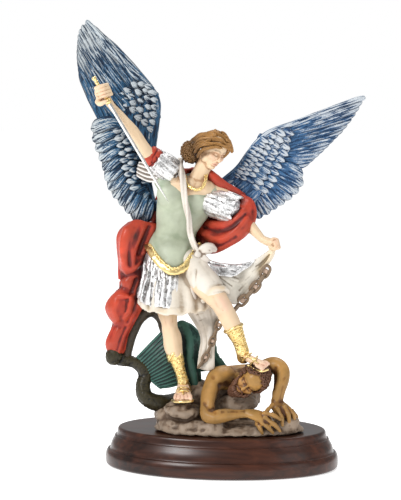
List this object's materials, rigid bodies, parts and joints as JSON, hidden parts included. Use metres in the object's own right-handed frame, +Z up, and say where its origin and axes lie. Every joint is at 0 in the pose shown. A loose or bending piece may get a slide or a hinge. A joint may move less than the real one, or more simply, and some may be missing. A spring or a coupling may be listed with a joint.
{
  "type": "archangel statue",
  "caption": "Painted resin statue of the winged archangel Michael raising a sword over a chained, bat-winged demon, on an oval moulded wooden plinth",
  "frame": {"origin": "centre of the plinth's flat underside, on the surface it stands on", "axes": "+Z up through the figure, -Y to the front, where the archangel faces, +X to the viewer's right"},
  "size_m": [0.189, 0.0986, 0.2907],
  "materials": {
    "painted_resin": "painted and gilded",
    "stained_wood": "satin varnish",
    "plated_steel": "plated, with a gilt grip"
  },
  "bodies": {
    "root": {"wooden_plinth": "stained_wood", "figure": "painted_resin", "sword": "plated_steel"}
  },
  "joints": []
}
